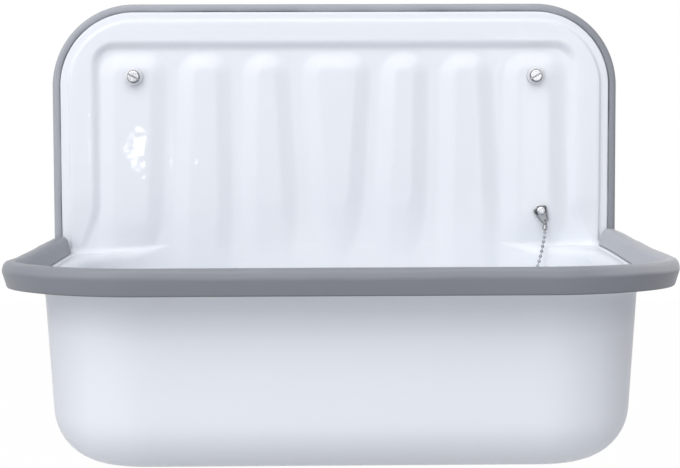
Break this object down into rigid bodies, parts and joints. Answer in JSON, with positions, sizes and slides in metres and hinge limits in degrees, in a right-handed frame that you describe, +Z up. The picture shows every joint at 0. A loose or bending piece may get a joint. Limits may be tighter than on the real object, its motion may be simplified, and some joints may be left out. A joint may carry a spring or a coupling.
{
  "type": "mop sink",
  "caption": "Wall-hung enamelled steel mop sink with a fluted splashback, a moulded rim guard and edge trim, wall screws, a bottom waste outlet and a plug on a ball chain.",
  "frame": {"origin": "on the wall plane, midway between the two fixing screws", "axes": "+X to the viewer's right, +Y into the wall, +Z up; the bowl stands out towards -Y"},
  "size_m": [0.51, 0.44, 0.387],
  "materials": {
    "enamel": "gloss enamel",
    "guard": "satin",
    "trim": "satin",
    "screw": "zinc plated",
    "collar": "smooth",
    "stay": "polished",
    "chain": "polished",
    "waste": "polished",
    "seal": "matt",
    "nut": "matt",
    "plug": "matt"
  },
  "bodies": {
    "sink": {"bowl": "enamel", "splashback": "enamel", "rim_guard": "guard", "edge_trim": "trim", "fixing_screws": "screw", "fixing_collars": "collar", "stay_screw": "stay", "stay_washer": "stay", "stay_rear_washer": "stay", "stay_nut": "stay", "waste_body": "waste", "waste_top_seal": "seal", "waste_bottom_seal": "seal", "waste_slip_washer": "nut", "waste_backnut": "nut", "chain_upper": "chain", "chain_lower": "chain"},
    "bail": {"stay_bail": "stay", "chain_top_coupling": "chain"},
    "plug": {"plug": "plug", "plug_eye": "stay", "chain_plug_coupling": "chain"}
  },
  "joints": [
    {"name": "plug_lift", "type": "slide", "parent": "sink", "child": "plug", "axis": [0, 0, 1], "range_m": [0, 0.165], "deforming": ["chain_lower"]},
    {"name": "bail_swing", "type": "hinge", "parent": "sink", "child": "bail", "pos_m": [0.186, -0.0198, -0.122], "axis": [0, 1, 0], "range_deg": [-40, 80], "deforming": ["chain_upper"]}
  ]
}
